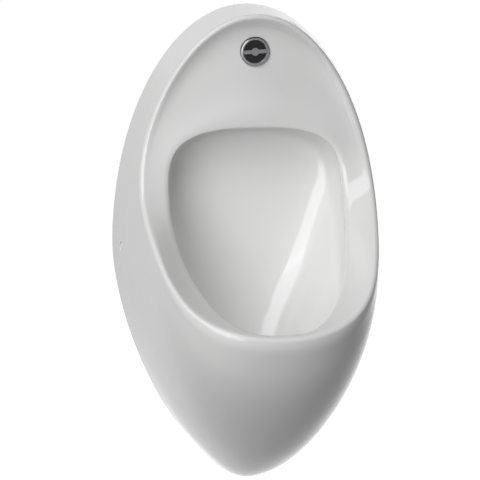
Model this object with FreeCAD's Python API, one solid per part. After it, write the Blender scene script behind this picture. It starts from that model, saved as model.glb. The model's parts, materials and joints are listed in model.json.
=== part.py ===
"""Wall hung urinal with an infrared flush, built as separate pieces in millimetres.

Frame: +X is the viewer's right, +Y runs into the wall, +Z is up. The origin lies on the wall
plane, on the centreline, level with the two side fixings. The room side is -Y.
"drop" is a distance below the top edge, "depth" a distance out from the wall.
"""

import FreeCAD, Part
import math
import os

V = FreeCAD.Vector
X_AXIS = V(1, 0, 0)
Y_AXIS = V(0, 1, 0)
Z_AXIS = V(0, 0, 1)

# ---- driving dimensions of the china body
HEIGHT = 640.0
WIDTH = 360.0
DEPTH = 325.0                 # wall to the front of the lip
CHINA = 10.0                  # thickness of the cast wall
HALF_H = HEIGHT / 2           # the fixings are level with the middle
HALF_W = WIDTH / 2

NOSE_DEPTH = DEPTH + 2.0      # the outer egg closes just ahead of the lip
NOSE_DROP = HALF_H + 60.0
SIDE_DRAFT = 0.27             # how much the sides draw in from wall to nose
SIDE_FULLNESS = 8.0           # how late the sides turn in to the nose
TOP_FULLNESS = 6.0
CHIN_POWER = 1.8              # superellipse power of the chin's side profile
LOWER_POWER = 1.62            # the same of the lower outline at the wall
LOWER_GAIN = 0.45             # how much rounder the lower outline is at the nose
UPPER_POWER = 2.0             # the upper outline is half an ellipse

CREST_TOP_DEPTH = 104.0       # side profile of the rim: top, waist, arc, then straight to the lip
WAIST_DROP = 150.0
WAIST_DEPTH = 82.0
SWEEP_RADIUS = 150.0
LIP_DROP = 404.0

RIM_ROUND = 5.0               # both corners of the rim
RIM_WIDTH = 7.0
BOWL_EDGE_ROUND = 8.0

# The edge of the opening: widest at BOWL_WIDE_DROP, flat under the brow, round at the lip
BOWL_WIDE_DROP = 246.0
PANEL_HOLLOW = 17.0           # how far the splash panel lies behind a straight line from the rim
SIDE_HOLLOW = 1.0             # the same beside the opening
PANEL_CORNER = 0.16           # share of the panel taken by the turn at its foot

RING_POINTS = 40
PANEL_ROW = 12                # the first row of points on the splash panel
SKIN_BORDERS = (8, 10, 12, 17, 19)  # rim corner, rim, panel, opening's edge, bowl
RIM_SOLID = 20.0              # the china is solid this far behind the rim


class Ring:
    """One closed ring inside the bowl, seen from the side as a line from its top to its front."""

    def __init__(self, top, wide_drop, front, half_width, power, bend):
        self.top = top                # (drop, depth) of the uppermost point
        self.front = front            # (drop, depth) of the point nearest the viewer
        self.wide_drop = wide_drop
        self.half_width = half_width
        self.power = power
        self.bend = bend              # 1 is a straight side view, more hangs back behind the brow

    def point(self, level, side):
        """level runs from -1 at the front to 1 at the top; side is -1 or 1."""
        across = (1 - abs(level) ** self.power) ** (1 / self.power)
        mean = (self.top[0] + self.front[0]) / 2
        drop = self.wide_drop + level * (self.top[0] - self.front[0]) / 2
        drop += level ** 2 * (mean - self.wide_drop)
        share = ((1 - level) / 2) ** self.bend
        depth = self.top[1] + (self.front[1] - self.top[1]) * share
        return V(side * self.half_width * across, -depth, HALF_H - drop)


BOWL_EDGE = Ring((158, 87), BOWL_WIDE_DROP, (397, 310), 116.0, 2.7, 3.7)
DRAIN_DROP = 470.0
DRAIN_DEPTH = 115.0
DRAIN_R = 27.0
BOWL_RINGS = [
    Ring((151, 66), 255, (412, 303), 119, 2.8, 3.5),
    Ring((152, 48), 272, (427, 289), 117, 2.9, 3.0),
    Ring((165, 35), 292, (440, 271), 112, 3.0, 2.6),
    Ring((200, 31), 318, (449, 250), 104, 3.0, 2.2),
    Ring((255, 32), 350, (456, 226), 93, 2.8, 1.9),
    Ring((318, 36), 384, (462, 202), 78, 2.6, 1.6),
    Ring((378, 46), 418, (466, 180), 60, 2.3, 1.3),
    Ring((430, 65), 448, (469, 160), 43, 2.1, 1.1),
    Ring((DRAIN_DROP, DRAIN_DEPTH - DRAIN_R), DRAIN_DROP, (DRAIN_DROP, DRAIN_DEPTH + DRAIN_R),
         DRAIN_R, 2.0, 1.0),
]

# ---- fittings
SENSOR_Z = HALF_H - 52.0
PANEL_DEPTH = 85.8            # flat seat of the sensor in the splash panel
SENSOR_HOLE_R = 14.6
SENSOR_BACK = 66.0            # depth of the flat pad behind the panel
BEZEL_R = 19.75
WINDOW_R = 15.2
BAR_WIDTH = 5.0
BAR_BOSS_R = 5.3
SENSOR_TURN = 2.5             # the sensor stands a little turned in its hole, degrees

SPREADER_DEPTH = 52.0
CEILING_Z = HALF_H - 151.6    # underside of the bowl's ceiling at the spreader
CEILING_TOP_Z = CEILING_Z + CHINA + 2.0
SPREADER_HOLE_R = 11.0
SPREADER_TOP_Z = CEILING_TOP_Z + 22.0
SPREADER_SOCKET = 16.0        # how far the flush tube stands in the spreader
FLUSH_TUBE_R = 8.0
TUBE_WALL = 1.5

VALVE_X = 48.0
VALVE_DEPTH = 36.0
VALVE_Z = 212.0
INLET_R = 20.955 / 2          # G 1/2 outside thread
INLET_LENGTH = 14.0           # what stands out behind the wall plane
BONNET_SIDE = 34.0
PLUNGER_R = 4.4
PLUNGER_LENGTH = 18.0
PLUNGER_GAP = 0.3             # over the diaphragm's pilot hole at rest
PLUNGER_TRAVEL = 2.5
SPRING_HOLE_R = 2.6
SPINDLE_R = 4.0
RUNNING = 0.05                # radial clearance of what slides or turns

DRAIN_Z = HALF_H - DRAIN_DROP
BOSS_DROP = 17.0              # from the drain's edge down to the flat seat under the china
WASTE_TUBE_R = 22.5
TRAP_R = 36.0
TRAP_WALL = 3.0
TRAP_TOP_Z = DRAIN_Z - BOSS_DROP - 14.0
TRAP_SPLIT_Z = -227.0
TRAP_FLOOR_Z = -268.0
DIP_END_Z = -262.0
OUTLET_R = 20.0               # DN 40 pipe
OUTLET_Z = -203.0
OUTLET_LENGTH = 30.0          # what stands out behind the wall plane

FIXING_DEPTH = 40.0
FIXING_PAD_X = 154.0          # inner end of the china boss
SCREW_SEAT_X = 162.0
SCREW_R = 4.0
CAP_R = 7.0
BRACKET_X = 152.0
BRACKET_SHEET = 3.0
BRACKET_HALF_H = 24.0
BRACKET_REACH = 62.0
BRACKET_FOOT_X = 112.0
WALL_HOLE_X = 126.0
WALL_HOLE_Z = 12.0
WALL_HOLE_R = 4.25


# ---- shape of the china body
def bisect(rises, low, high):
    """The place between low and high where rises() passes from negative to positive."""
    for _ in range(40):
        middle = (low + high) / 2
        if rises(middle) < 0:
            low = middle
        else:
            high = middle
    return (low + high) / 2


def rim_depth(drop):
    """Side profile of the rim: leans forward to the top, sweeps forward to the lip."""
    lean = CREST_TOP_DEPTH - WAIST_DEPTH
    if drop < WAIST_DROP:
        return WAIST_DEPTH + lean * ((WAIST_DROP - drop) / WAIST_DROP) ** 2
    run = DEPTH - WAIST_DEPTH
    fall = LIP_DROP - WAIST_DROP
    # tangent from the lip to the circle that touches the waist line
    reach = math.hypot(run - SWEEP_RADIUS, fall)
    to_centre = math.atan2(run - SWEEP_RADIUS, fall)
    turn = math.acos(SWEEP_RADIUS / reach)
    end = math.pi / 2 - turn + to_centre
    if drop < WAIST_DROP + SWEEP_RADIUS * math.sin(end):
        part = (drop - WAIST_DROP) / SWEEP_RADIUS
        return WAIST_DEPTH + SWEEP_RADIUS * (1 - math.sqrt(1 - part ** 2))
    return DEPTH - (LIP_DROP - drop) * math.tan(end)


def egg_sizes(depth):
    """Centre drop, half width, reach up and reach down of the outer egg at this depth."""
    u = min(depth / NOSE_DEPTH, 1.0)
    width = HALF_W * (1 - SIDE_DRAFT * u) * math.sqrt(1 - u ** SIDE_FULLNESS)
    centre = HALF_H + (NOSE_DROP - HALF_H) * u ** 4
    up = NOSE_DROP * math.sqrt(1 - u ** TOP_FULLNESS) - (NOSE_DROP - centre)
    down = (HEIGHT - NOSE_DROP) * (1 - u ** CHIN_POWER) ** (1 / CHIN_POWER)
    down += NOSE_DROP - centre
    return centre, width, up, down


def lower_power(depth):
    return LOWER_POWER + LOWER_GAIN * depth / NOSE_DEPTH


def egg_radius(angle, depth):
    """Distance to the outer egg from the line at BOWL_WIDE_DROP, at one angle and depth."""
    centre, width, up, down = egg_sizes(depth)

    def outside(radius):
        x = abs(radius * math.cos(angle))
        rise = radius * math.sin(angle) + centre - BOWL_WIDE_DROP
        power = UPPER_POWER if rise > 0 else lower_power(depth)
        reach = up if rise > 0 else down
        return (x / width) ** power + (abs(rise) / reach) ** power - 1

    return bisect(outside, 0.0, HEIGHT)


def egg_point(angle, depth):
    radius = egg_radius(angle, depth)
    return V(radius * math.cos(angle), -depth, HALF_H - BOWL_WIDE_DROP + radius * math.sin(angle))


def crest_depth(angle):
    """Depth at which the outer egg meets the rim's side profile."""
    return bisect(lambda d: d - rim_depth(HALF_H - egg_point(angle, d).z), 0.0, NOSE_DEPTH - 0.1)


def edge_level(angle):
    """The level on the opening's edge that lies at this angle, and its side."""
    side = 1 if math.cos(angle) >= 0 else -1
    folded = math.atan2(math.sin(angle), abs(math.cos(angle)))

    def past(level):
        p = BOWL_EDGE.point(level, 1)
        return math.atan2(p.z - (HALF_H - BOWL_WIDE_DROP), p.x) - folded

    return bisect(past, -1.0, 1.0), side


def corner(before, tip, after, share):
    """A point on the round that replaces the corner at tip."""
    return before * (1 - share) ** 2 + tip * (2 * share * (1 - share)) + after * share ** 2


def unit(vector):
    return vector * (1 / vector.Length)


def meridian(angle):
    """Points of the skin from the wall, over the rim and the splash panel, into the drain."""
    level, side = edge_level(angle)
    crest_d = crest_depth(angle)
    crest = egg_point(angle, crest_d)
    turn = math.asin(crest_d / NOSE_DEPTH)
    wall_side = egg_point(angle, NOSE_DEPTH * math.sin(turn * 0.97))
    forward = unit(crest - wall_side)

    edge = BOWL_EDGE.point(level, side)
    inward = V(edge.x - crest.x, 0, edge.z - crest.z)
    inward = unit(inward)
    drop = HALF_H - crest.z
    slope = (rim_depth(drop + 1) - rim_depth(drop - 1)) / 2
    band = unit(V(inward.x, inward.z * slope, inward.z))
    inner = crest + band * RIM_WIDTH

    points = []
    for share in (0.0, 0.14, 0.28, 0.42, 0.56, 0.70, 0.82, 0.92):
        points.append(egg_point(angle, NOSE_DEPTH * math.sin(turn * share)))
    start = crest - forward * RIM_ROUND
    middle = crest + band * RIM_ROUND
    for share in (0.0, 0.5, 1.0):
        points.append(corner(start, crest, middle, share))

    hollow = PANEL_HOLLOW * max(0.0, math.sin(angle)) ** 3 + SIDE_HOLLOW

    def panel(share):
        p = inner + (edge - inner) * share
        sink = hollow * (1 - math.exp(-share / PANEL_CORNER)) * (1 - share)
        return V(p.x, p.y + sink, p.z)

    run = (edge - inner).Length
    into = min(0.3, RIM_ROUND / run)
    for share in (0.5, 1.0):
        points.append(corner(middle, inner, panel(into), share))
    leave = 1 - min(0.45, BOWL_EDGE_ROUND / run)
    for step in (0.06, 0.2, 0.45, 0.75):
        points.append(panel(into + (leave - into) * step))
    first = BOWL_RINGS[0].point(level, side)
    below = edge + unit(first - edge) * min(BOWL_EDGE_ROUND, 0.6 * (first - edge).Length)
    for share in (0.0, 0.5, 1.0):
        points.append(corner(panel(leave), edge, below, share))
    for ring in BOWL_RINGS:
        points.append(ring.point(level, side))
    return points


def even_steps(count):
    return [i / (count - 1) for i in range(count)]


def border_runs(rings, index):
    """The direction of the surface across one ring, weighted to the nearer neighbour."""
    runs = []
    for before, here, after in zip(rings[index - 1], rings[index], rings[index + 1]):
        h1 = (here - before).Length
        h2 = (after - here).Length
        runs.append(unit((here - before) * (h2 / h1) + (after - here) * (h1 / h2)))
    return runs


def periodic_poles(points):
    curve = Part.BSplineCurve()
    curve.interpolate(Points=points, PeriodicFlag=True, Parameters=even_steps(len(points) + 1))
    return curve


def skinned_band(rings, start_runs, end_runs):
    """A smooth face through closed rings, leaving its end rings along the given runs."""
    along = [0.0]
    for last, this in zip(rings, rings[1:]):
        gap = sum((q - p).Length for p, q in zip(last, this)) / len(this)
        along.append(along[-1] + gap)
    curves = [periodic_poles(ring) for ring in rings]
    speeds = []
    for runs, near, far, gap in ((start_runs, rings[0], rings[1], along[1]),
                                 (end_runs, rings[-1], rings[-2], along[-1] - along[-2])):
        if runs:
            fields = [run * ((q - p).Length / gap) for run, p, q in zip(runs, near, far)]
        else:
            sign = 1 if near is rings[0] else -1
            fields = [(q - p) * (sign / gap) for p, q in zip(near, far)]
        speeds.append(periodic_poles(fields).getPoles())
    columns = []
    for column, first, last in zip(zip(*[curve.getPoles() for curve in curves]), *speeds):
        line = Part.BSplineCurve()
        line.interpolate(Points=list(column), Parameters=along, InitialTangent=first,
                         FinalTangent=last, Scale=False)
        columns.append(line)
    surface = Part.BSplineSurface()
    surface.buildFromPolesMultsKnots(
        [line.getPoles() for line in columns],
        curves[0].getMultiplicities(), columns[0].getMultiplicities(),
        curves[0].getKnots(), columns[0].getKnots(),
        True, False, curves[0].Degree, columns[0].Degree)
    return surface.toShape()


def skinned_bands(rings, borders=()):
    """Faces through closed rings of equally many points, parted at the bordering rings."""
    stops = [0] + list(borders) + [len(rings) - 1]
    runs = [None] + [border_runs(rings, index) for index in borders] + [None]
    return [skinned_band(rings[first:last + 1], leave, arrive)
            for first, last, leave, arrive in zip(stops, stops[1:], runs, runs[1:])]


def closed_solid(bands):
    """The solid between ring-shaped faces and flat caps on the two open ends."""
    faces = list(bands)
    for face, low in ((bands[0], True), (bands[-1], False)):
        v_range = face.ParameterRange[2:]
        at = v_range[0] if low else v_range[1]
        edge = face.Surface.vIso(at).toShape()
        faces.append(Part.Face(Part.Wire([edge])))
    shell = Part.Shell(faces)
    shell.sewShape()
    return Part.Solid(shell)


def skin():
    """The body's outer skin as one solid, still full behind."""
    angles = [math.radians(-90 + 360 * i / RING_POINTS) for i in range(RING_POINTS)]
    rings = [list(row) for row in zip(*[meridian(a) for a in angles])]
    return closed_solid(skinned_bands(rings, SKIN_BORDERS))


def egg_core():
    """The room inside the outer wall, as if the front were closed."""
    width_share = 1 - CHINA / HALF_W
    height_share = 1 - CHINA / HALF_H
    depth_share = 1 - CHINA / NOSE_DEPTH
    rings = []
    for turn in (0, 12, 25, 38, 50, 62, 73, 81, 87):
        depth = NOSE_DEPTH * math.sin(math.radians(turn))
        centre, width, up, down = egg_sizes(depth)
        ring = []
        for i in range(RING_POINTS):
            angle = math.radians(-90 + 360 * i / RING_POINTS)
            across, rise = math.cos(angle), math.sin(angle)
            power = UPPER_POWER if rise > 0 else lower_power(depth)
            x = math.copysign(abs(across) ** (2 / power), across) * width * width_share
            reach = up if rise > 0 else down
            z = math.copysign(abs(rise) ** (2 / power), rise) * reach * height_share
            ring.append(V(x, -depth * depth_share, HALF_H - centre + z))
        rings.append(ring)
    return closed_solid(skinned_bands(rings))


def front_of_rim(back):
    """Everything ahead of the rim's side profile, moved back square to it."""
    points = []
    for step in range(13):
        drop = -40.0 + step * (LIP_DROP + 120.0) / 12
        at = min(max(drop, 0.0), LIP_DROP)
        slope = (rim_depth(at + 1) - rim_depth(at - 1)) / 2
        length = math.hypot(1.0, slope)
        depth = rim_depth(at) + (drop - at) * slope
        points.append(V(0, -(depth - back / length), HALF_H - (drop + back * slope / length)))
    curve = Part.BSplineCurve()
    curve.interpolate(points)
    front = -2 * DEPTH
    ends = [points[-1], V(0, front, points[-1].z), V(0, front, points[0].z), points[0]]
    edges = [curve.toShape()] + [Part.makeLine(p, q) for p, q in zip(ends, ends[1:])]
    face = Part.Face(Part.Wire(edges))
    face.translate(V(-HALF_W, 0, 0))
    return face.extrude(X_AXIS * WIDTH)


def thickened(index):
    """A bowl ring moved out by the china's thickness, square to its neighbours."""
    line = [BOWL_EDGE] + BOWL_RINGS
    ring = line[index + 1]
    last = line[index]
    after = line[min(index + 2, len(line) - 1)]

    def moved(name, turn):
        here = getattr(ring, name)
        run = [q - p for p, q in zip(getattr(last, name), getattr(after, name))]
        length = math.hypot(*run)
        return here[0] + turn * run[1] * CHINA / length, here[1] - turn * run[0] * CHINA / length

    return Ring(moved("top", 1), ring.wide_drop, moved("front", -1),
                ring.half_width + CHINA, ring.power, ring.bend)


def front_core():
    """The splash panel and the bowl with the china's thickness around them."""
    angles = [math.radians(-90 + 360 * i / RING_POINTS) for i in range(RING_POINTS)]
    rows = list(zip(*[meridian(a) for a in angles]))
    backs = [CHINA * math.sin(a) for a in angles]
    panel = [[V(p.x, p.y + back, p.z) for p, back in zip(row, backs)]
             for row in rows[PANEL_ROW:PANEL_ROW + 5]]
    mouth = [V(p.x, -1.3 * DEPTH, p.z) for p in panel[0]]
    levels = [edge_level(a) for a in angles]
    rings = [thickened(index) for index in range(len(BOWL_RINGS) - 1)]
    rings.append(Ring((DRAIN_DROP + CHINA, DRAIN_DEPTH - DRAIN_R - CHINA), DRAIN_DROP + CHINA,
                      (DRAIN_DROP + CHINA, DRAIN_DEPTH + DRAIN_R + CHINA), DRAIN_R + CHINA, 2.0, 1.0))
    bowl = [[ring.point(level, side) for level, side in levels] for ring in rings]
    bands = skinned_bands([mouth, panel[0]]) + skinned_bands(panel + bowl[:1]) + skinned_bands(bowl)
    return closed_solid(bands)


# ---- small helpers for the fittings
def rod(radius, start, along, length):
    return Part.makeCylinder(radius, length, start, along)


def tube(outer, inner, start, along, length):
    return rod(outer, start, along, length).cut(rod(inner, start, along, length))


def block(x0, x1, y0, y1, z0, z1):
    return Part.makeBox(x1 - x0, y1 - y0, z1 - z0, V(x0, y0, z0))


def hexagon(across_flats, start, along, length):
    """A hexagonal prism on the axis that leaves start."""
    radius = across_flats / math.sqrt(3)
    corners = [V(radius * math.cos(math.radians(60 * i)), radius * math.sin(math.radians(60 * i)), 0)
               for i in range(7)]
    prism = Part.Face(Part.makePolygon(corners)).extrude(V(0, 0, length))
    prism.Placement = FreeCAD.Placement(start, FreeCAD.Rotation(Z_AXIS, along))
    return prism


def turned(profile, centre, along):
    """A closed (radius, height) outline turned about the axis that leaves centre."""
    points = [V(r, 0, h) for r, h in profile]
    face = Part.Face(Part.makePolygon(points + points[:1]))
    solid = face.revolve(V(0, 0, 0), Z_AXIS, 360)
    solid.Placement = FreeCAD.Placement(centre, FreeCAD.Rotation(Z_AXIS, along))
    return solid


def mirrored(shape):
    return shape.mirror(V(0, 0, 0), X_AXIS)


def clean(shape):
    return shape.removeSplitter()


TO_ROOM = V(0, -1, 0)
DOWN = V(0, 0, -1)
BEZEL_Y = -PANEL_DEPTH - 1.0              # back of the bezel's flange, on the gasket
BEZEL_FRONT = 3.5
SHOULDER = 0.8                            # the lens lies on this shoulder
SENSOR_TUBE_R = 14.3
SENSOR_TUBE_END = -46.0
SPREADER_Y = -SPREADER_DEPTH
DRAIN_Y = -DRAIN_DEPTH
SEAT_Z = DRAIN_Z - BOSS_DROP


# ---- the china body
def china_pads():
    """Flat seats behind the sensor, over the spreader, round the drain and at the side fixings."""
    pads = [
        rod(24.0, V(0, -PANEL_DEPTH + 4.0, SENSOR_Z), Y_AXIS, PANEL_DEPTH - 4.0 - SENSOR_BACK),
        rod(18.0, V(0, SPREADER_Y, CEILING_Z + 4.0), Z_AXIS, CEILING_TOP_Z - CEILING_Z - 4.0),
        rod(DRAIN_R + CHINA + 4.0, V(0, DRAIN_Y, SEAT_Z), Z_AXIS, BOSS_DROP - 3.0),
    ]
    side = rod(17.0, V(FIXING_PAD_X, -FIXING_DEPTH, 0), X_AXIS, 14.0)
    return pads + [side, mirrored(side)]


def china_holes():
    seat = rod(BEZEL_R + 0.7, V(0, -PANEL_DEPTH, SENSOR_Z), TO_ROOM, 20.0)
    ceiling_seat = rod(15.6, V(0, SPREADER_Y, CEILING_Z), DOWN, 12.0)
    sensor = rod(SENSOR_HOLE_R, V(0, -PANEL_DEPTH - 1, SENSOR_Z), Y_AXIS, 30.0)
    spreader = rod(SPREADER_HOLE_R, V(0, SPREADER_Y, CEILING_Z - 12), Z_AXIS, 40.0)
    groove = rod(18.5, V(0, SPREADER_Y, CEILING_TOP_Z), Z_AXIS, 40.0)
    drain_top = rod(DRAIN_R - 0.4, V(0, DRAIN_Y, DRAIN_Z - 4.0), Z_AXIS, 8.0)
    drain = rod(WASTE_TUBE_R + 1.0, V(0, DRAIN_Y, SEAT_Z - 1), Z_AXIS, BOSS_DROP)
    shank = rod(SCREW_R + 0.5, V(FIXING_PAD_X - 1, -FIXING_DEPTH, 0), X_AXIS, 30.0)
    cap = rod(CAP_R + RUNNING, V(SCREW_SEAT_X, -FIXING_DEPTH, 0), X_AXIS, 30.0)
    return [seat, sensor, ceiling_seat, spreader, groove, drain_top, drain,
            shank, mirrored(shank), cap, mirrored(cap)]


def urinal_body():
    inside = egg_core().cut(front_of_rim(RIM_SOLID)).cut(front_core())
    body = skin().cut(inside)
    for pad in china_pads():
        body = body.fuse(pad)
    for hole in china_holes():
        body = body.cut(hole)
    return body


# ---- the infrared sensor
def sensor_parts():
    centre = V(0, BEZEL_Y, SENSOR_Z)
    edge = 0.8
    ring = turned([
        (WINDOW_R, SHOULDER), (WINDOW_R, BEZEL_FRONT - edge), (WINDOW_R + edge, BEZEL_FRONT),
        (BEZEL_R - 2.5, BEZEL_FRONT), (BEZEL_R - 1.0, BEZEL_FRONT - 0.6), (BEZEL_R, BEZEL_FRONT - 2.0),
        (BEZEL_R, 0), (SENSOR_TUBE_R, 0), (SENSOR_TUBE_R, BEZEL_Y - SENSOR_TUBE_END),
        (12.8, BEZEL_Y - SENSOR_TUBE_END), (12.8, SHOULDER)], centre, TO_ROOM)
    bar_back = BEZEL_Y - BEZEL_FRONT + 1.3
    bar = block(-WINDOW_R - 0.3, WINDOW_R + 0.3, bar_back - 1.1, bar_back,
                SENSOR_Z - BAR_WIDTH / 2, SENSOR_Z + BAR_WIDTH / 2)
    boss = rod(BAR_BOSS_R, V(0, bar_back, SENSOR_Z), TO_ROOM, 1.5)
    bar.rotate(V(0, 0, SENSOR_Z), TO_ROOM, SENSOR_TURN)
    bezel = clean(ring.fuse(bar).fuse(boss))
    lens = rod(WINDOW_R - 0.1, V(0, BEZEL_Y - SHOULDER, SENSOR_Z), TO_ROOM, 1.2)
    gasket = tube(BEZEL_R - 0.5, SENSOR_TUBE_R + 0.1, V(0, -PANEL_DEPTH, SENSOR_Z), TO_ROOM, 1.0)
    nut = hexagon(40.0, V(0, -SENSOR_BACK, SENSOR_Z), Y_AXIS, 7.0)
    nut = nut.cut(rod(SENSOR_TUBE_R, V(0, -SENSOR_BACK - 1, SENSOR_Z), Y_AXIS, 9.0))
    cup = turned([
        (12.7, 38.0), (12.7, 0.0), (4.5, 0.0), (4.5, -9.0), (2.2, -9.0), (2.2, 2.5),
        (11.0, 2.5), (11.0, 38.0)], V(0, -42.0, SENSOR_Z), TO_ROOM)
    board = rod(10.6, V(0, -58.0, SENSOR_Z), TO_ROOM, 1.6)
    board = board.cut(block(-12, 12, -61, -57, SENSOR_Z + 8.5, SENSOR_Z + 12))
    diode = rod(2.5, V(0, -59.6, SENSOR_Z + 5.0), TO_ROOM, 9.0)
    diode = diode.fuse(rod(3.0, V(0, -59.6, SENSOR_Z + 5.0), TO_ROOM, 1.2))
    receiver = block(-3.2, 3.2, -66.0, -59.6, SENSOR_Z - 8.0, SENSOR_Z - 1.6)
    window = Part.makeSphere(2.2, V(0, -66.0, SENSOR_Z - 4.8))
    receiver = receiver.fuse(window.common(block(-3, 3, -70, -64, SENSOR_Z - 9, SENSOR_Z)))
    return {
        "sensor_bezel": bezel, "sensor_lens": lens, "sensor_gasket": gasket, "sensor_lock_nut": nut,
        "sensor_housing": cup, "sensor_board": board, "infrared_emitter": clean(diode),
        "infrared_receiver": receiver,
    }


# ---- the water side
def flush_tube():
    """Leaves the valve, bends level to the centreline and again down to the spreader."""
    bend = 10.0
    low = SPREADER_TOP_Z - SPREADER_SOCKET
    level = [V(VALVE_X - 24.0, SPREADER_Y, VALVE_Z), V(bend, SPREADER_Y, VALVE_Z),
             V(0, SPREADER_Y, VALVE_Z - bend), V(0, SPREADER_Y, low)]
    dip = bend * (1 - math.sqrt(0.5))
    middle = V(dip, SPREADER_Y, VALVE_Z - dip)
    path = Part.Wire([
        Part.makeLine(level[0], level[1]),
        Part.Arc(level[1], middle, level[2]).toShape(),
        Part.makeLine(level[2], level[3])])

    def swept(radius):
        circle = Part.Wire([Part.makeCircle(radius, level[0], X_AXIS)])
        return path.makePipeShell([circle], True, False)

    return swept(FLUSH_TUBE_R).cut(swept(FLUSH_TUBE_R - TUBE_WALL))


def valve_parts():
    """The stop valve, the filter and the solenoid valve in one line from the wall."""
    back = V(VALVE_X, INLET_LENGTH, VALVE_Z)
    nipple = rod(INLET_R, back, TO_ROOM, INLET_LENGTH + 14.0)
    nipple = nipple.fuse(hexagon(26.0, V(VALVE_X, -10.0, VALVE_Z), TO_ROOM, 6.0))
    nipple = nipple.cut(rod(7.5, V(VALVE_X, INLET_LENGTH + 1, VALVE_Z), TO_ROOM, INLET_LENGTH + 20))
    mesh = turned([(7.4, 0), (7.4, 16), (6.4, 16), (6.4, 1), (0.0, 1), (0.0, 0)],
                  V(VALVE_X, 12.0, VALVE_Z), TO_ROOM)

    body_start = V(VALVE_X, -16.05, VALVE_Z)
    seat_z = VALVE_Z + 18.0
    half = BONNET_SIDE / 2
    centre_y = SPREADER_Y + 12.0
    body = rod(13.0, body_start, TO_ROOM, 42.0)
    body = body.fuse(block(VALVE_X - half, VALVE_X + half, centre_y - half, centre_y + half,
                           VALVE_Z + 5, seat_z))
    outlet = rod(10.5, V(VALVE_X, SPREADER_Y, VALVE_Z), V(-1, 0, 0), 26.0)
    stop_boss = rod(8.0, V(VALVE_X, -24.0, VALVE_Z), X_AXIS, 25.0)
    body = body.fuse(outlet).fuse(stop_boss)
    body = body.cut(rod(7.5, V(VALVE_X, -15.0, VALVE_Z), TO_ROOM, 22.0))
    body = body.cut(rod(FLUSH_TUBE_R + RUNNING, V(VALVE_X - 18.0, SPREADER_Y, VALVE_Z), V(-1, 0, 0), 12))
    body = body.cut(rod(6.5, V(VALVE_X, SPREADER_Y, VALVE_Z), V(-1, 0, 0), 20.0))
    body = body.cut(rod(SPINDLE_R + RUNNING, V(VALVE_X + 6.0, -24.0, VALVE_Z), X_AXIS, 25.0))
    body = body.cut(rod(12.0, V(VALVE_X, centre_y, VALVE_Z + 12), Z_AXIS, 8.0))
    corners = [V(VALVE_X + i * 13.0, centre_y + j * 13.0, 0) for i in (-1, 1) for j in (-1, 1)]
    for c in corners:
        body = body.cut(rod(1.6, V(c.x, c.y, VALVE_Z + 10), Z_AXIS, 12.0))

    diaphragm = turned([(0, 0), (4, 0), (5, 1.0), (9, 1.0), (10, 0), (15, 0), (15, 2), (0, 2)],
                       V(VALVE_X, centre_y, seat_z), Z_AXIS)
    bonnet_z = seat_z + 2.0
    bonnet = block(VALVE_X - half, VALVE_X + half, centre_y - half, centre_y + half,
                   bonnet_z, bonnet_z + 6.0)
    bonnet = bonnet.fuse(rod(PLUNGER_R + 1.2, V(VALVE_X, centre_y, bonnet_z), Z_AXIS, 34.0))
    lift = PLUNGER_GAP + PLUNGER_LENGTH + PLUNGER_TRAVEL
    bonnet = bonnet.cut(rod(PLUNGER_R + RUNNING, V(VALVE_X, centre_y, bonnet_z), Z_AXIS, lift))
    bonnet = bonnet.cut(rod(SPRING_HOLE_R, V(VALVE_X, centre_y, bonnet_z), Z_AXIS, 32.0))
    for c in corners:
        bonnet = bonnet.cut(rod(1.9, V(c.x, c.y, bonnet_z - 1), Z_AXIS, 8.0))
    screws = []
    for c in corners:
        shank = rod(1.5, V(c.x, c.y, bonnet_z - 8.0), Z_AXIS, 14.0)
        head = rod(2.8, V(c.x, c.y, bonnet_z + 6.0), Z_AXIS, 2.4)
        slot = block(c.x - 3, c.x + 3, c.y - 0.4, c.y + 0.4, bonnet_z + 7.6, bonnet_z + 9.0)
        screws.append(shank.fuse(head).cut(slot))

    plunger = rod(PLUNGER_R, V(VALVE_X, centre_y, bonnet_z + PLUNGER_GAP), Z_AXIS, PLUNGER_LENGTH)
    plunger = plunger.cut(rod(SPRING_HOLE_R, V(VALVE_X, centre_y, bonnet_z + 12.0), Z_AXIS, 8.0))
    spring = tube(2.4, 1.8, V(VALVE_X, centre_y, bonnet_z + 12.1), Z_AXIS, 19.8)
    coil_z = bonnet_z + 6.2
    coil = tube(12.0, PLUNGER_R + 1.3, V(VALVE_X, centre_y, coil_z), Z_AXIS, 22.0)
    yoke = block(VALVE_X - 9.0, VALVE_X + 9.0, centre_y - 13.5, centre_y + 13.5, coil_z, coil_z + 22.0)
    yoke = yoke.cut(rod(PLUNGER_R + 1.3, V(VALVE_X, centre_y, coil_z - 1), Z_AXIS, 26.0))
    tabs = [block(VALVE_X + i - 1.5, VALVE_X + i + 1.5, centre_y + 13.0, centre_y + 19.0,
                  coil_z + 10, coil_z + 10.8) for i in (-4, 4)]
    coil = coil.fuse(yoke).fuse(tabs[0]).fuse(tabs[1])
    clip = tube(9.0, PLUNGER_R + 1.25, V(VALVE_X, centre_y, coil_z + 22.1), Z_AXIS, 1.5)
    clip = clip.cut(block(VALVE_X, VALVE_X + 12, centre_y - 2, centre_y + 2, coil_z + 21, coil_z + 25))

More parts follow.
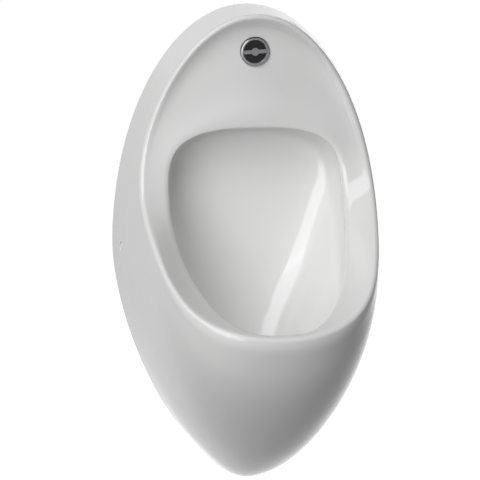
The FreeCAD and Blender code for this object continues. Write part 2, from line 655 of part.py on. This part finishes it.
    spindle = rod(SPINDLE_R, V(VALVE_X + 8.0, -24.0, VALVE_Z), X_AXIS, 24.0)
    lever = block(VALVE_X + 26.0, VALVE_X + 29.0, -46.0, -24.0, VALVE_Z - 4.5, VALVE_Z + 4.5)
    lever = lever.fuse(rod(6.0, V(VALVE_X + 26.0, -24.0, VALVE_Z), X_AXIS, 5.0))
    spindle = spindle.fuse(lever)
    return {
        "inlet_nipple": clean(nipple), "inlet_filter": mesh, "valve_body": clean(body),
        "valve_diaphragm": diaphragm, "valve_bonnet": clean(bonnet),
        "bonnet_screws": Part.makeCompound(screws), "solenoid_plunger": plunger,
        "plunger_spring": spring, "solenoid_coil": clean(coil), "coil_clip": clip,
        "stop_spindle": clean(spindle), "flush_tube": flush_tube(),
    }


def spreader_parts():
    """A threaded stem through the ceiling of the bowl with a slotted dome under it."""
    under = CEILING_Z - 1.6
    top = SPREADER_TOP_Z - under
    socket = FLUSH_TUBE_R + RUNNING
    spreader = turned([
        (0, -6.5), (9.0, -5.5), (14.5, -3.0), (15.0, 0.0), (10.6, 0.0), (10.6, top),
        (socket, top), (socket, top - SPREADER_SOCKET), (6.5, top - SPREADER_SOCKET), (6.5, -3.0),
        (0, -3.0)], V(0, SPREADER_Y, under), Z_AXIS)
    for step in range(5):
        slot = block(-1.2, 1.2, -16.0, -5.0, -4.6, -1.6)
        slot.rotate(V(0, 0, 0), Z_AXIS, -60 + 30 * step)
        slot.translate(V(0, SPREADER_Y, under))
        spreader = spreader.cut(slot)
    gasket = tube(14.0, 10.7, V(0, SPREADER_Y, under), Z_AXIS, 1.6)
    nut = hexagon(30.0, V(0, SPREADER_Y, CEILING_TOP_Z), Z_AXIS, 7.0)
    nut = nut.cut(rod(10.6, V(0, SPREADER_Y, CEILING_TOP_Z - 1), Z_AXIS, 9.0))
    return {"flush_spreader": spreader, "spreader_gasket": gasket, "spreader_nut": nut}


# ---- the waste side
def strainer():
    """A domed grid that lies in the drain and lifts out by hand."""
    top = DRAIN_Z - 1.0
    dome = turned([
        (0, 4.0), (8.0, 3.6), (16.0, 2.2), (22.0, 0.4), (25.5, -0.4), (25.5, 0.0 - 2.0),
        (22.0, -2.0), (15.5, 0.0), (8.0, 1.4), (0, 1.8)][::-1], V(0, DRAIN_Y, top + 2.0), Z_AXIS)
    for radius, count in ((7.0, 6), (14.0, 10), (20.0, 14)):
        for step in range(count):
            angle = 2 * math.pi * step / count
            hole = rod(1.9, V(radius * math.cos(angle), DRAIN_Y + radius * math.sin(angle), top - 4),
                       Z_AXIS, 14.0)
            dome = dome.cut(hole)
    return dome


def trap_parts():
    lip = 2.6
    flange = turned([
        (WASTE_TUBE_R, 0), (DRAIN_R - 0.8, 0), (DRAIN_R - 0.8, lip), (WASTE_TUBE_R - 2.0, lip),
        (WASTE_TUBE_R - 2.0, DIP_END_Z - (DRAIN_Z - 4.0)), (WASTE_TUBE_R, DIP_END_Z - (DRAIN_Z - 4.0))],
        V(0, DRAIN_Y, DRAIN_Z - 4.0), Z_AXIS)
    gasket = tube(33.0, WASTE_TUBE_R + 0.1, V(0, DRAIN_Y, SEAT_Z), DOWN, 2.0)
    nut = tube(33.0, WASTE_TUBE_R + 0.05, V(0, DRAIN_Y, SEAT_Z - 2.0), DOWN, 9.0)
    for step in range(8):
        ear = block(31.0, 36.0, -3.0, 3.0, SEAT_Z - 11.0, SEAT_Z - 2.0)
        ear.rotate(V(0, 0, 0), Z_AXIS, 45 * step)
        ear.translate(V(0, DRAIN_Y, 0))
        nut = nut.fuse(ear)

    inner = TRAP_R - TRAP_WALL
    head = rod(TRAP_R, V(0, DRAIN_Y, TRAP_SPLIT_Z), Z_AXIS, TRAP_TOP_Z - TRAP_SPLIT_Z)
    head = head.fuse(rod(OUTLET_R + 3.0, V(0, DRAIN_Y, OUTLET_Z), Y_AXIS, 65.0))
    head = head.cut(rod(inner, V(0, DRAIN_Y, TRAP_SPLIT_Z - 1), Z_AXIS,
                        TRAP_TOP_Z - TRAP_SPLIT_Z - TRAP_WALL + 1))
    head = head.cut(rod(WASTE_TUBE_R + 0.05, V(0, DRAIN_Y, TRAP_TOP_Z - 6), Z_AXIS, 8.0))
    head = head.cut(rod(OUTLET_R - 2.0, V(0, DRAIN_Y, OUTLET_Z), Y_AXIS, 70.0))
    head = head.cut(rod(OUTLET_R + 0.05, V(0, DRAIN_Y + 45.0, OUTLET_Z), Y_AXIS, 25.0))
    seal = tube(TRAP_R, inner, V(0, DRAIN_Y, TRAP_SPLIT_Z), DOWN, 1.5)
    cup_top = TRAP_SPLIT_Z - 1.5
    cup = turned([
        (0, TRAP_FLOOR_Z), (18.0, TRAP_FLOOR_Z), (30.0, TRAP_FLOOR_Z + 5.0), (TRAP_R, TRAP_FLOOR_Z + 14.0),
        (TRAP_R, cup_top), (inner, cup_top), (inner, TRAP_FLOOR_Z + 15.0), (28.0, TRAP_FLOOR_Z + 8.0),
        (17.0, TRAP_FLOOR_Z + 3.0), (0, TRAP_FLOOR_Z + 3.0)], V(0, DRAIN_Y, 0), Z_AXIS)
    for step in range(12):
        rib = block(TRAP_R - 1.0, TRAP_R + 1.2, -2.0, 2.0, cup_top - 14.0, cup_top)
        rib.rotate(V(0, 0, 0), Z_AXIS, 30 * step)
        rib.translate(V(0, DRAIN_Y, 0))
        cup = cup.fuse(rib)

    pipe_start = V(0, DRAIN_Y + 46.0, OUTLET_Z)
    pipe_length = DRAIN_DEPTH - 46.0 + OUTLET_LENGTH
    pipe = rod(OUTLET_R, pipe_start, Y_AXIS, pipe_length)
    pipe = pipe.fuse(rod(OUTLET_R + 4.0, V(0, -3.0, OUTLET_Z), Y_AXIS, 3.0))
    pipe = pipe.cut(rod(OUTLET_R - 2.0, pipe_start, Y_AXIS, pipe_length))
    seal_y = DRAIN_Y + 65.0
    outlet_seal = tube(OUTLET_R + 3.0, OUTLET_R + 0.05, V(0, seal_y, OUTLET_Z), Y_AXIS, 3.0)
    slip = turned([
        (OUTLET_R + 3.1, -10.0), (OUTLET_R + 7.0, -10.0), (OUTLET_R + 7.0, 5.0), (OUTLET_R + 0.1, 5.0),
        (OUTLET_R + 0.1, 3.05), (OUTLET_R + 3.1, 3.05)], V(0, seal_y, OUTLET_Z), Y_AXIS)
    return {
        "drain_strainer": strainer(), "waste_flange": flange, "waste_gasket": gasket,
        "waste_nut": clean(nut), "trap_head": clean(head), "trap_seal": seal, "trap_cup": clean(cup),
        "outlet_pipe": pipe, "outlet_seal": outlet_seal, "outlet_nut": slip,
    }


# ---- the hidden side fixings
def bracket():
    """A pressed steel angle, screwed to the wall; the side screw pulls the china onto it."""
    leg = block(BRACKET_X - BRACKET_SHEET, BRACKET_X, -BRACKET_REACH, 0, -BRACKET_HALF_H, BRACKET_HALF_H)
    foot = block(BRACKET_FOOT_X, BRACKET_X, -BRACKET_SHEET, 0, -BRACKET_HALF_H, BRACKET_HALF_H)
    angle = leg.fuse(foot)
    inside = BRACKET_X - BRACKET_SHEET
    rib = Part.Face(Part.makePolygon([
        V(inside, -BRACKET_SHEET, 0), V(inside - 12.0, -BRACKET_SHEET, 0),
        V(inside, -BRACKET_SHEET - 18.0, 0), V(inside, -BRACKET_SHEET, 0)]))
    for z in (-BRACKET_HALF_H, BRACKET_HALF_H - 2.0):
        gusset = rib.extrude(V(0, 0, 2.0))
        gusset.translate(V(0, 0, z))
        angle = angle.fuse(gusset)
    hole = rod(SCREW_R + 0.2, V(BRACKET_X - 5, -FIXING_DEPTH, 0), X_AXIS, 8.0)
    angle = clean(angle).cut(hole)
    for z in (-WALL_HOLE_Z, WALL_HOLE_Z):
        angle = angle.cut(rod(WALL_HOLE_R, V(WALL_HOLE_X, 1, z), TO_ROOM, 6.0))
    return angle


def fixing_parts():
    seat = V(SCREW_SEAT_X, -FIXING_DEPTH, 0)
    screw = rod(SCREW_R, V(SCREW_SEAT_X - 21.0, -FIXING_DEPTH, 0), X_AXIS, 21.0)
    screw = screw.fuse(rod(6.4, seat, X_AXIS, 5.0))
    screw = screw.cut(hexagon(5.0, V(SCREW_SEAT_X + 2.0, -FIXING_DEPTH, 0), X_AXIS, 4.0))
    nut = hexagon(13.0, V(BRACKET_X - BRACKET_SHEET, -FIXING_DEPTH, 0), V(-1, 0, 0), 6.5)
    nut = nut.cut(rod(SCREW_R, V(BRACKET_X + 1, -FIXING_DEPTH, 0), V(-1, 0, 0), 14.0))
    pad = tube(13.0, SCREW_R + 0.2, V(BRACKET_X, -FIXING_DEPTH, 0), X_AXIS, FIXING_PAD_X - BRACKET_X)
    cap = turned([(0, 7.9), (0, 12.6), (3.5, 12.4), (5.8, 11.8), (CAP_R - 0.2, 11.0), (CAP_R, 10.2),
                  (CAP_R, 6.0), (5.6, 6.0), (5.6, 7.9)], seat, X_AXIS)
    right = bracket()
    return {
        "wall_bracket_right": right, "wall_bracket_left": mirrored(right),
        "side_screws": Part.makeCompound([screw, mirrored(screw)]),
        "bracket_nuts": Part.makeCompound([nut, mirrored(nut)]),
        "side_pads": Part.makeCompound([pad, mirrored(pad)]),
        "fixing_cap_right": cap, "fixing_cap_left": mirrored(cap),
    }


def main():
    os.makedirs("parts", exist_ok=True)
    parts = {"urinal_body": urinal_body()}
    for group in (sensor_parts(), valve_parts(), spreader_parts(), trap_parts(), fixing_parts()):
        parts.update(group)
    for name, shape in parts.items():
        shape.exportStep("parts/" + name + ".step")
        count = len(shape.Solids)
        print(name, "solids", count, "valid", shape.isValid(), "cm3", round(shape.Volume / 1000, 2))


main()
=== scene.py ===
"""Looks of a wall hung urinal in glazed vitreous china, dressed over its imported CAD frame.

Every piece stands in the CAD frame in metres: +X is the viewer's right, +Y runs into the wall
and +Z is up. The origin lies on the wall, level with the side fixings.
"""

import json
import logging
import math
from dataclasses import dataclass, field
from enum import Enum

import bpy
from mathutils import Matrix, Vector


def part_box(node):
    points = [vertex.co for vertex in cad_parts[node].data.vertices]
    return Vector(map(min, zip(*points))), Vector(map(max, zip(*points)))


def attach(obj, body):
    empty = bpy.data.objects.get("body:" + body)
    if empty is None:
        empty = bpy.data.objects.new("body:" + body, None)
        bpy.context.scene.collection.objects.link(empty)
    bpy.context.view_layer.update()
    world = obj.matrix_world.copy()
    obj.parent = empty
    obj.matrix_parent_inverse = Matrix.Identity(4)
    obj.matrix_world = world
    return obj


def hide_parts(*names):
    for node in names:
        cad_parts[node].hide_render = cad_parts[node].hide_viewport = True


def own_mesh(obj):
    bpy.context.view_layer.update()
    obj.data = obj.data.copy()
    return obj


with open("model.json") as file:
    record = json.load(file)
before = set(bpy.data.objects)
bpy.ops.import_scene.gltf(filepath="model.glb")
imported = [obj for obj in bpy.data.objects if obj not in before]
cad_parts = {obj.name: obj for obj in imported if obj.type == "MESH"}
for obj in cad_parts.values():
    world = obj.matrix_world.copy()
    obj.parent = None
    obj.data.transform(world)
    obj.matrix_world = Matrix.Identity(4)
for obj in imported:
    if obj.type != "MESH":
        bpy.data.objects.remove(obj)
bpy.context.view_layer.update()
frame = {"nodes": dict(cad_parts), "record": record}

LOG = logging.getLogger("urinal")
MM = 0.001
NOISE_LOW, NOISE_HIGH = 0.3, 0.7        # between these lie nearly all values of a noise texture
BRUSH_STRETCH = (1.0, 1.0, 0.04)        # draws the relief out along Z
RING_STRETCH = (0.06, 0.06, 1.0)        # draws the relief out round Z

Colour = tuple[float, float, float, float]
Socket = bpy.types.NodeSocket


def linear(code: str) -> Colour:
    """Turn an sRGB hex value into linear light.

    Args:
        code: Six hex digits after a hash.

    Returns:
        Red, green, blue and an alpha of one.
    """
    parts = [int(code[i:i + 2], 16) / 255 for i in (1, 3, 5)]
    light = [p / 12.92 if p <= 0.04045 else ((p + 0.055) / 1.055) ** 2.4 for p in parts]
    return (*light, 1.0)


def add_node(tree: bpy.types.NodeTree, kind: str, settings: dict | None = None,
             links: dict | None = None) -> bpy.types.Node:
    """Add one node with its settings and links.

    Args:
        tree: The tree that takes the node.
        kind: The node's type name.
        settings: Values by attribute name, or by input name where no attribute has it.
        links: Output sockets by input name or number.

    Returns:
        The new node.
    """
    node = tree.nodes.new(kind)
    for name, value in (settings or {}).items():
        if isinstance(name, str) and hasattr(node, name):
            setattr(node, name, value)
        else:
            node.inputs[name].default_value = value
    for name, socket in (links or {}).items():
        tree.links.new(socket, node.inputs[name])
    return node


def per_metre(size_mm: float) -> float:
    """Texture scale at which one feature is size_mm wide."""
    return 1.0 / (size_mm * MM)


class Grain(Enum):
    """How the surface was made, which sets the pattern's direction."""

    CLOUDED = "even in all directions"
    BRUSHED = "long marks along Z"
    TURNED = "fine rings about the piece's axis"


@dataclass(frozen=True)
class Finish:
    """One real surface: a colour that drifts, a roughness that varies and a fine relief."""

    name: str
    colour: str
    drift: str                      # the colour towards which it drifts
    drift_mm: float                 # size of the patches
    roughness: tuple[float, float]
    grain_mm: float                 # width of the fine relief
    relief: float                   # strength of the relief
    relief_mm: float                # depth of the relief
    grain: Grain = Grain.CLOUDED
    metallic: float = 0.0
    ior: float = 1.5
    specular: float = 0.5

    def material(self) -> bpy.types.Material:
        """Make the material.

        Returns:
            A node material that reads Object coordinates only.
        """
        made = bpy.data.materials.new(self.name)
        made.use_nodes = True
        tree = made.node_tree
        tree.nodes.clear()
        place = add_node(tree, "ShaderNodeTexCoord").outputs["Object"]
        patches = add_node(tree, "ShaderNodeTexNoise", {
            "Scale": per_metre(self.drift_mm), "Detail": 3.0, "Roughness": 0.5}, {"Vector": place})
        tint = add_node(tree, "ShaderNodeMixRGB", {
            "Color1": linear(self.colour), "Color2": linear(self.drift)},
            {"Fac": patches.outputs["Fac"]})
        fine = add_node(tree, "ShaderNodeTexNoise", {
            "Scale": per_metre(self.grain_mm), "Detail": 2.0, "Roughness": 0.55},
            {"Vector": self.stretched(tree, place)})
        rough = add_node(tree, "ShaderNodeMapRange", {
            "From Min": NOISE_LOW, "From Max": NOISE_HIGH, "To Min": self.roughness[0],
            "To Max": self.roughness[1]}, {"Value": fine.outputs["Fac"]})
        bump = add_node(tree, "ShaderNodeBump", {
            "Strength": self.relief, "Distance": self.relief_mm * MM},
            {"Height": fine.outputs["Fac"]})
        settings = {"Metallic": self.metallic}
        if not self.metallic:
            settings["IOR"] = self.ior
            settings["Specular IOR Level"] = self.specular
        shader = add_node(tree, "ShaderNodeBsdfPrincipled", settings, {
            "Base Color": tint.outputs["Color"], "Roughness": rough.outputs["Result"],
            "Normal": bump.outputs["Normal"]})
        add_node(tree, "ShaderNodeOutputMaterial", {}, {"Surface": shader.outputs["BSDF"]})
        return made

    def stretched(self, tree: bpy.types.NodeTree, place: Socket) -> Socket:
        """Turn the coordinates so that the relief runs the way the surface was worked.

        Args:
            tree: The material's tree.
            place: Object coordinates.

        Returns:
            The coordinates for the relief.
        """
        if self.grain is Grain.CLOUDED:
            return place
        stretch = BRUSH_STRETCH if self.grain is Grain.BRUSHED else RING_STRETCH
        return add_node(tree, "ShaderNodeMapping", {"Scale": stretch},
                        {"Vector": place}).outputs["Vector"]


@dataclass(frozen=True)
class GlazedChina:
    """Vitreous china: a slip cast body under a poured glaze.

    The glaze gives a wet gloss that waves a little over 20 to 60 mm, because it ran while it
    melted. The body's white drifts very slightly between cool and warm, and a few fired specks
    lie in it.
    """

    name: str = "vitreous_china_glaze"
    white: str = "#E9E9E9"
    warm: str = "#E5E5E4"
    speck: str = "#B9B4A8"
    drift_mm: float = 140.0
    wave_mm: float = 45.0
    wave_depth_mm: float = 0.35
    peel_mm: float = 7.0
    peel_depth_mm: float = 0.010
    speck_mm: float = 9.0
    speck_share: float = 0.035      # of a cell, where a speck's edge starts
    speck_core: float = 0.5         # of that, where it is darkest
    speck_strength: float = 0.35
    roughness: float = 0.09

    def material(self) -> bpy.types.Material:
        """Make the material.

        Returns:
            A node material that reads Object coordinates only.
        """
        made = bpy.data.materials.new(self.name)
        made.use_nodes = True
        tree = made.node_tree
        tree.nodes.clear()
        place = add_node(tree, "ShaderNodeTexCoord").outputs["Object"]
        drift = add_node(tree, "ShaderNodeTexNoise", {
            "Scale": per_metre(self.drift_mm), "Detail": 2.0}, {"Vector": place})
        white = add_node(tree, "ShaderNodeMixRGB", {
            "Color1": linear(self.white), "Color2": linear(self.warm)},
            {"Fac": drift.outputs["Fac"]})
        cells = add_node(tree, "ShaderNodeTexVoronoi", {
            "Scale": per_metre(self.speck_mm)}, {"Vector": place})
        spot = add_node(tree, "ShaderNodeMapRange", {
            "From Min": self.speck_share, "From Max": self.speck_share * self.speck_core,
            "To Min": 0.0, "To Max": self.speck_strength}, {"Value": cells.outputs["Distance"]})
        colour = add_node(tree, "ShaderNodeMixRGB", {"Color2": linear(self.speck)}, {
            "Fac": spot.outputs["Result"], "Color1": white.outputs["Color"]})
        waves = add_node(tree, "ShaderNodeTexNoise", {
            "Scale": per_metre(self.wave_mm), "Detail": 0.0}, {"Vector": place})
        peel = add_node(tree, "ShaderNodeTexNoise", {
            "Scale": per_metre(self.peel_mm), "Detail": 1.0}, {"Vector": place})
        wavy = add_node(tree, "ShaderNodeBump", {
            "Strength": 1.0, "Distance": self.wave_depth_mm * MM},
            {"Height": waves.outputs["Fac"]})
        skin = add_node(tree, "ShaderNodeBump", {
            "Strength": 1.0, "Distance": self.peel_depth_mm * MM},
            {"Height": peel.outputs["Fac"], "Normal": wavy.outputs["Normal"]})
        shader = add_node(tree, "ShaderNodeBsdfPrincipled", {
            "Roughness": self.roughness, "IOR": 1.5}, {
            "Base Color": colour.outputs["Color"], "Normal": skin.outputs["Normal"]})
        add_node(tree, "ShaderNodeOutputMaterial", {}, {"Surface": shader.outputs["BSDF"]})
        return made


FINISHES = {
    # glaze over slip cast china: a wet gloss with a slow wave
    "vitreous_china": GlazedChina(),
    # bright plated ring: sharp reflections with the faint cloud that polishing leaves
    "chromed_brass": Finish("chrome_plate", "#C9CBCF", "#BBBEC3", 12, (0.05, 0.12), 1.2, 0.08, 0.02,
                            metallic=1.0),
    # black moulded window that passes infrared: deep gloss
    "infrared_acrylic": Finish("infrared_acrylic", "#0A0A0B", "#0F0E10", 6, (0.05, 0.09), 1.5, 0.05,
                               0.01, ior=1.49, specular=0.28),
    # moulded seal: dull black with a fine bloom
    "epdm_rubber": Finish("epdm_rubber", "#1B1B1B", "#252422", 5, (0.62, 0.8), 0.6, 0.25, 0.03),
    # glass filled moulding: matt black with a spark eroded grain
    "black_nylon": Finish("black_nylon", "#1C1C1E", "#26262A", 8, (0.42, 0.58), 0.5, 0.3, 0.03),
    # green lacquer over copper
    "circuit_board": Finish("solder_resist", "#0F5A2A", "#0B4722", 3, (0.2, 0.34), 0.8, 0.2, 0.02),
    # tinted clear epoxy, drawn dark because light stays in it
    "diode_epoxy": Finish("diode_epoxy", "#2A2438", "#1E1A2C", 2, (0.08, 0.14), 0.7, 0.05, 0.01),
    # brass casting, blasted: a soft grain between turned faces
    "cast_brass": Finish("blasted_brass", "#C9A45C", "#B58F4B", 9, (0.28, 0.46), 0.5, 0.4, 0.04,
                         metallic=1.0),
    # brushed stainless sheet: fine straight marks
    "stainless_steel": Finish("brushed_stainless", "#B9B9B7", "#A9AAA9", 10, (0.2, 0.38), 0.35, 0.35,
                              0.02, grain=Grain.BRUSHED, metallic=1.0),
    # turned ferritic steel
    "ferritic_steel": Finish("turned_steel", "#9C9C9E", "#8C8D90", 6, (0.25, 0.4), 0.3, 0.35, 0.02,
                             grain=Grain.TURNED, metallic=1.0),
    # epoxy moulded coil, dark blue
    "moulded_coil": Finish("coil_epoxy", "#1B2A4C", "#22345A", 8, (0.35, 0.5), 0.6, 0.25, 0.03),
    # waste fittings: satin white with the flow clouds of the mould
    "white_polypropylene": Finish("white_polypropylene", "#E4E4E1", "#D8D9D6", 20, (0.34, 0.46), 0.9,
                                  0.2, 0.03, ior=1.49),
    # zinc plate: pale blue grey with patchy gloss
    "zinc_plated_steel": Finish("zinc_plate", "#B7BBC0", "#A5ABB4", 7, (0.24, 0.44), 0.8, 0.3, 0.03,
                                metallic=1.0),
    # small push-in cap: glossy moulding matched to the glaze
    "glossy_abs": Finish("glossy_white_abs", "#E9EAEA", "#E3E4E4", 5, (0.1, 0.16), 1.0, 0.05, 0.01,
                         ior=1.53),
}


NODE_FINISHES = {
    # the ring round the sensor: a darker, finely brushed chrome that shows as mid grey
    "sensor_bezel": Finish("satin_chrome", "#7E7E80", "#747476", 9, (0.16, 0.24), 0.8, 0.12, 0.02,
                           metallic=1.0),
}


@dataclass
class Dresser:
    """Gives each CAD node the finish that the record's slot asks for, or one of its own."""

    materials: dict[str, bpy.types.Material] = field(default_factory=dict)

    def material(self, slot: str) -> bpy.types.Material:
        """The one material of a slot."""
        if slot not in self.materials:
            self.materials[slot] = FINISHES[slot].material()
        return self.materials[slot]

    def dress(self, piece: bpy.types.Object, slot: str) -> None:
        """Put a slot's material on a whole piece.

        Args:
            piece: A mesh object.
            slot: The record's material slot.
        """
        piece.data.materials.clear()
        piece.data.materials.append(self.material(slot))

    def dress_nodes(self) -> None:
        """Dress every CAD node."""
        for row in frame["record"]["subparts"]:
            name = row["node"]
            piece = frame["nodes"][name]
            if name in NODE_FINISHES:
                piece.data.materials.clear()
                piece.data.materials.append(NODE_FINISHES[name].material())
            else:
                self.dress(piece, row["material_slot"])
            LOG.info("dressed %s in %s", name, piece.data.materials[0].name)


@dataclass
class ReturnSpring:
    """The wound spring that closes the plunger, in place of the plain sleeve."""

    dresser: Dresser
    turns: int = 9
    wire_mm: float = 0.55
    steps: int = 20                 # round one turn
    wire_sides: int = 10
    kept_share: float = 0.874       # of its length with the plunger lifted
    smooth_degrees: float = 60.0    # edges sharper than this stay sharp

    def build(self) -> bpy.types.Object:
        """Wind a wire round the spring's axis and close its ends.

        Returns:
            The finished spring.
        """
        low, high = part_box("plunger_spring")
        middle = (Vector(low) + Vector(high)) / 2
        wire = self.wire_mm * MM
        coil_radius = (high[0] - low[0] - wire) / 2
        bpy.ops.object.select_all(action="DESELECT")
        bpy.ops.mesh.primitive_circle_add(vertices=self.wire_sides, radius=wire / 2,
                                          location=(coil_radius, 0, 0), rotation=(math.pi / 2, 0, 0))
        piece = bpy.context.object
        piece.name = "plunger_spring_wound"
        bpy.ops.object.transform_apply(location=True, rotation=True, scale=True)
        winding = piece.modifiers.new("winding", "SCREW")
        winding.axis = "Z"
        winding.iterations = self.turns
        winding.screw_offset = (high[2] - low[2] - wire) / self.turns
        winding.steps = winding.render_steps = self.steps
        bpy.ops.object.modifier_apply(modifier=winding.name)
        piece.location = (middle[0], middle[1], low[2] + wire / 2)
        bpy.ops.object.transform_apply(location=True, rotation=True, scale=True)
        bpy.ops.object.mode_set(mode="EDIT")
        bpy.ops.mesh.select_all(action="SELECT")
        bpy.ops.mesh.fill_holes(sides=self.wire_sides)
        bpy.ops.mesh.select_all(action="SELECT")
        bpy.ops.mesh.normals_make_consistent(inside=False)
        bpy.ops.object.mode_set(mode="OBJECT")
        bpy.ops.object.shade_smooth_by_angle(angle=math.radians(self.smooth_degrees))
        self.dresser.dress(piece, "stainless_steel")
        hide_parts("plunger_spring")
        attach(piece, "urinal")
        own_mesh(piece)
        LOG.info("wound %s with %d turns", piece.name, self.turns)
        return piece


@dataclass
class Studio:
    """Pale floor, white surround, soft lamps and the camera at the photographed angle."""

    azimuth: float = -9.0           # degrees round from straight ahead, to the viewer's left
    elevation: float = 9.5
    distance: float = 18.0
    mm_per_pixel: float = 1.3437
    image: int = 480
    sensor_mm: float = 36.0
    aim_right_mm: float = -6.3      # what the middle of the image looks at
    aim_up_mm: float = -1.4
    clip_end: float = 200.0
    floor_drop: float = 0.75        # below the origin
    floor_size: float = 24.0
    floor_glow: float = 0.88        # to the camera and to gloss only
    floor_dull: str = "#5A5A5A"     # what the floor throws back to dull surfaces
    floor_pale: str = "#DDDDDD"     # what the camera and gloss see
    surround: float = 0.15          # what the white surround gives to dull surfaces
    lamp_distance: float = 4.0

    def axes(self) -> tuple[Vector, Vector, Vector]:
        """The camera's right, up and backward directions."""
        a, e = math.radians(self.azimuth), math.radians(self.elevation)
        right = Vector((math.cos(a), math.sin(a), 0))
        back = Vector((math.sin(a) * math.cos(e), -math.cos(a) * math.cos(e), math.sin(e)))
        return right, back.cross(right), back

    def build_camera(self) -> None:
        """Stand a long lens where the photograph was taken from."""
        right, up, back = self.axes()
        data = bpy.data.cameras.new("camera")
        data.sensor_width = self.sensor_mm
        data.lens = self.sensor_mm * self.distance / (self.mm_per_pixel * self.image * MM)
        data.clip_end = self.clip_end
        camera = bpy.data.objects.new("camera", data)
        bpy.context.scene.collection.objects.link(camera)
        aim = right * (self.aim_right_mm * MM) + up * (self.aim_up_mm * MM)
        camera.location = aim + back * self.distance
        camera.rotation_mode = "QUATERNION"
        camera.rotation_quaternion = (-back).to_track_quat("-Z", "Y")
        bpy.context.scene.camera = camera

    def build_floor(self) -> None:
        """Lay a pale floor that is white to the camera and keeps the shadow."""
        bpy.ops.object.select_all(action="DESELECT")
        bpy.ops.mesh.primitive_plane_add(size=self.floor_size, location=(0, 0, -self.floor_drop))
        floor = bpy.context.object
        floor.name = "studio_floor"
        made = bpy.data.materials.new("pale_floor")
        made.use_nodes = True
        tree = made.node_tree
        tree.nodes.clear()
        rays = add_node(tree, "ShaderNodeLightPath")
        seen = add_node(tree, "ShaderNodeMath", {"operation": "MAXIMUM"}, {
            0: rays.outputs["Is Camera Ray"], 1: rays.outputs["Is Glossy Ray"]})
        pale = add_node(tree, "ShaderNodeMixRGB", {
            "Color1": linear(self.floor_dull), "Color2": linear(self.floor_pale)},
            {"Fac": seen.outputs["Value"]})
        matt = add_node(tree, "ShaderNodeBsdfDiffuse", {}, {"Color": pale.outputs["Color"]})
        strength = add_node(tree, "ShaderNodeMath", {"operation": "MULTIPLY", 1: self.floor_glow},
                            {0: seen.outputs["Value"]})
        glow = add_node(tree, "ShaderNodeEmission", {"Color": (1, 1, 1, 1)},
                        {"Strength": strength.outputs["Value"]})
        both = add_node(tree, "ShaderNodeAddShader", {}, {
            0: matt.outputs["BSDF"], 1: glow.outputs["Emission"]})
        add_node(tree, "ShaderNodeOutputMaterial", {}, {"Surface": both.outputs["Shader"]})
        floor.data.materials.append(made)

    def build_world(self) -> None:
        """White to the camera, to gloss and through glass, and dimmer to dull surfaces."""
        world = bpy.data.worlds.new("white_surround")
        bpy.context.scene.world = world
        world.use_nodes = True
        tree = world.node_tree
        tree.nodes.clear()
        rays = add_node(tree, "ShaderNodeLightPath")
        seen = add_node(tree, "ShaderNodeMath", {"operation": "MAXIMUM"}, {
            0: rays.outputs["Is Camera Ray"], 1: rays.outputs["Is Glossy Ray"]})
        seen = add_node(tree, "ShaderNodeMath", {"operation": "MAXIMUM"}, {
            0: seen.outputs["Value"], 1: rays.outputs["Is Transmission Ray"]})
        strength = add_node(tree, "ShaderNodeMapRange", {
            "To Min": self.surround, "To Max": 1.0}, {"Value": seen.outputs["Value"]})
        sky = add_node(tree, "ShaderNodeBackground", {"Color": (1, 1, 1, 1)},
                       {"Strength": strength.outputs["Result"]})
        add_node(tree, "ShaderNodeOutputWorld", {}, {"Surface": sky.outputs["Background"]})

    def lamp(self, name: str, way: tuple[float, float, float], size: float, watts: float) -> None:
        """Hang one soft box that looks at the object.

        Args:
            name: The lamp's name.
            way: The direction in which it hangs.
            size: Its side in metres.
            watts: Its power.
        """
        data = bpy.data.lights.new(name, "AREA")
        data.size = size
        data.energy = watts
        lamp = bpy.data.objects.new(name, data)
        bpy.context.scene.collection.objects.link(lamp)
        lamp.location = Vector(way).normalized() * self.lamp_distance
        lamp.rotation_mode = "QUATERNION"
        lamp.rotation_quaternion = (-Vector(way)).to_track_quat("-Z", "Y")

    def build_lamps(self) -> None:
        """A key high on the left, a wide fill low on the left and a weak one behind."""
        self.lamp("key", (-0.45, -0.60, 0.66), 2.8, 78.0)
        self.lamp("low_fill", (-0.55, -0.82, 0.12), 2.4, 60.0)
        self.lamp("back_fill", (0.25, 0.95, 0.05), 6.0, 16.0)

    def build(self) -> None:
        """Set up the whole studio."""
        bpy.context.scene.view_settings.view_transform = "Standard"
        self.build_world()
        self.build_floor()
        self.build_lamps()
        self.build_camera()
        LOG.info("studio is set")


def main() -> None:
    """Dress the frame and set up the studio."""
    logging.basicConfig(level=logging.INFO, format="%(name)s: %(message)s")
    dresser = Dresser()
    dresser.dress_nodes()
    ReturnSpring(dresser).build()
    Studio().build()


if __name__ == "__main__":
    main()
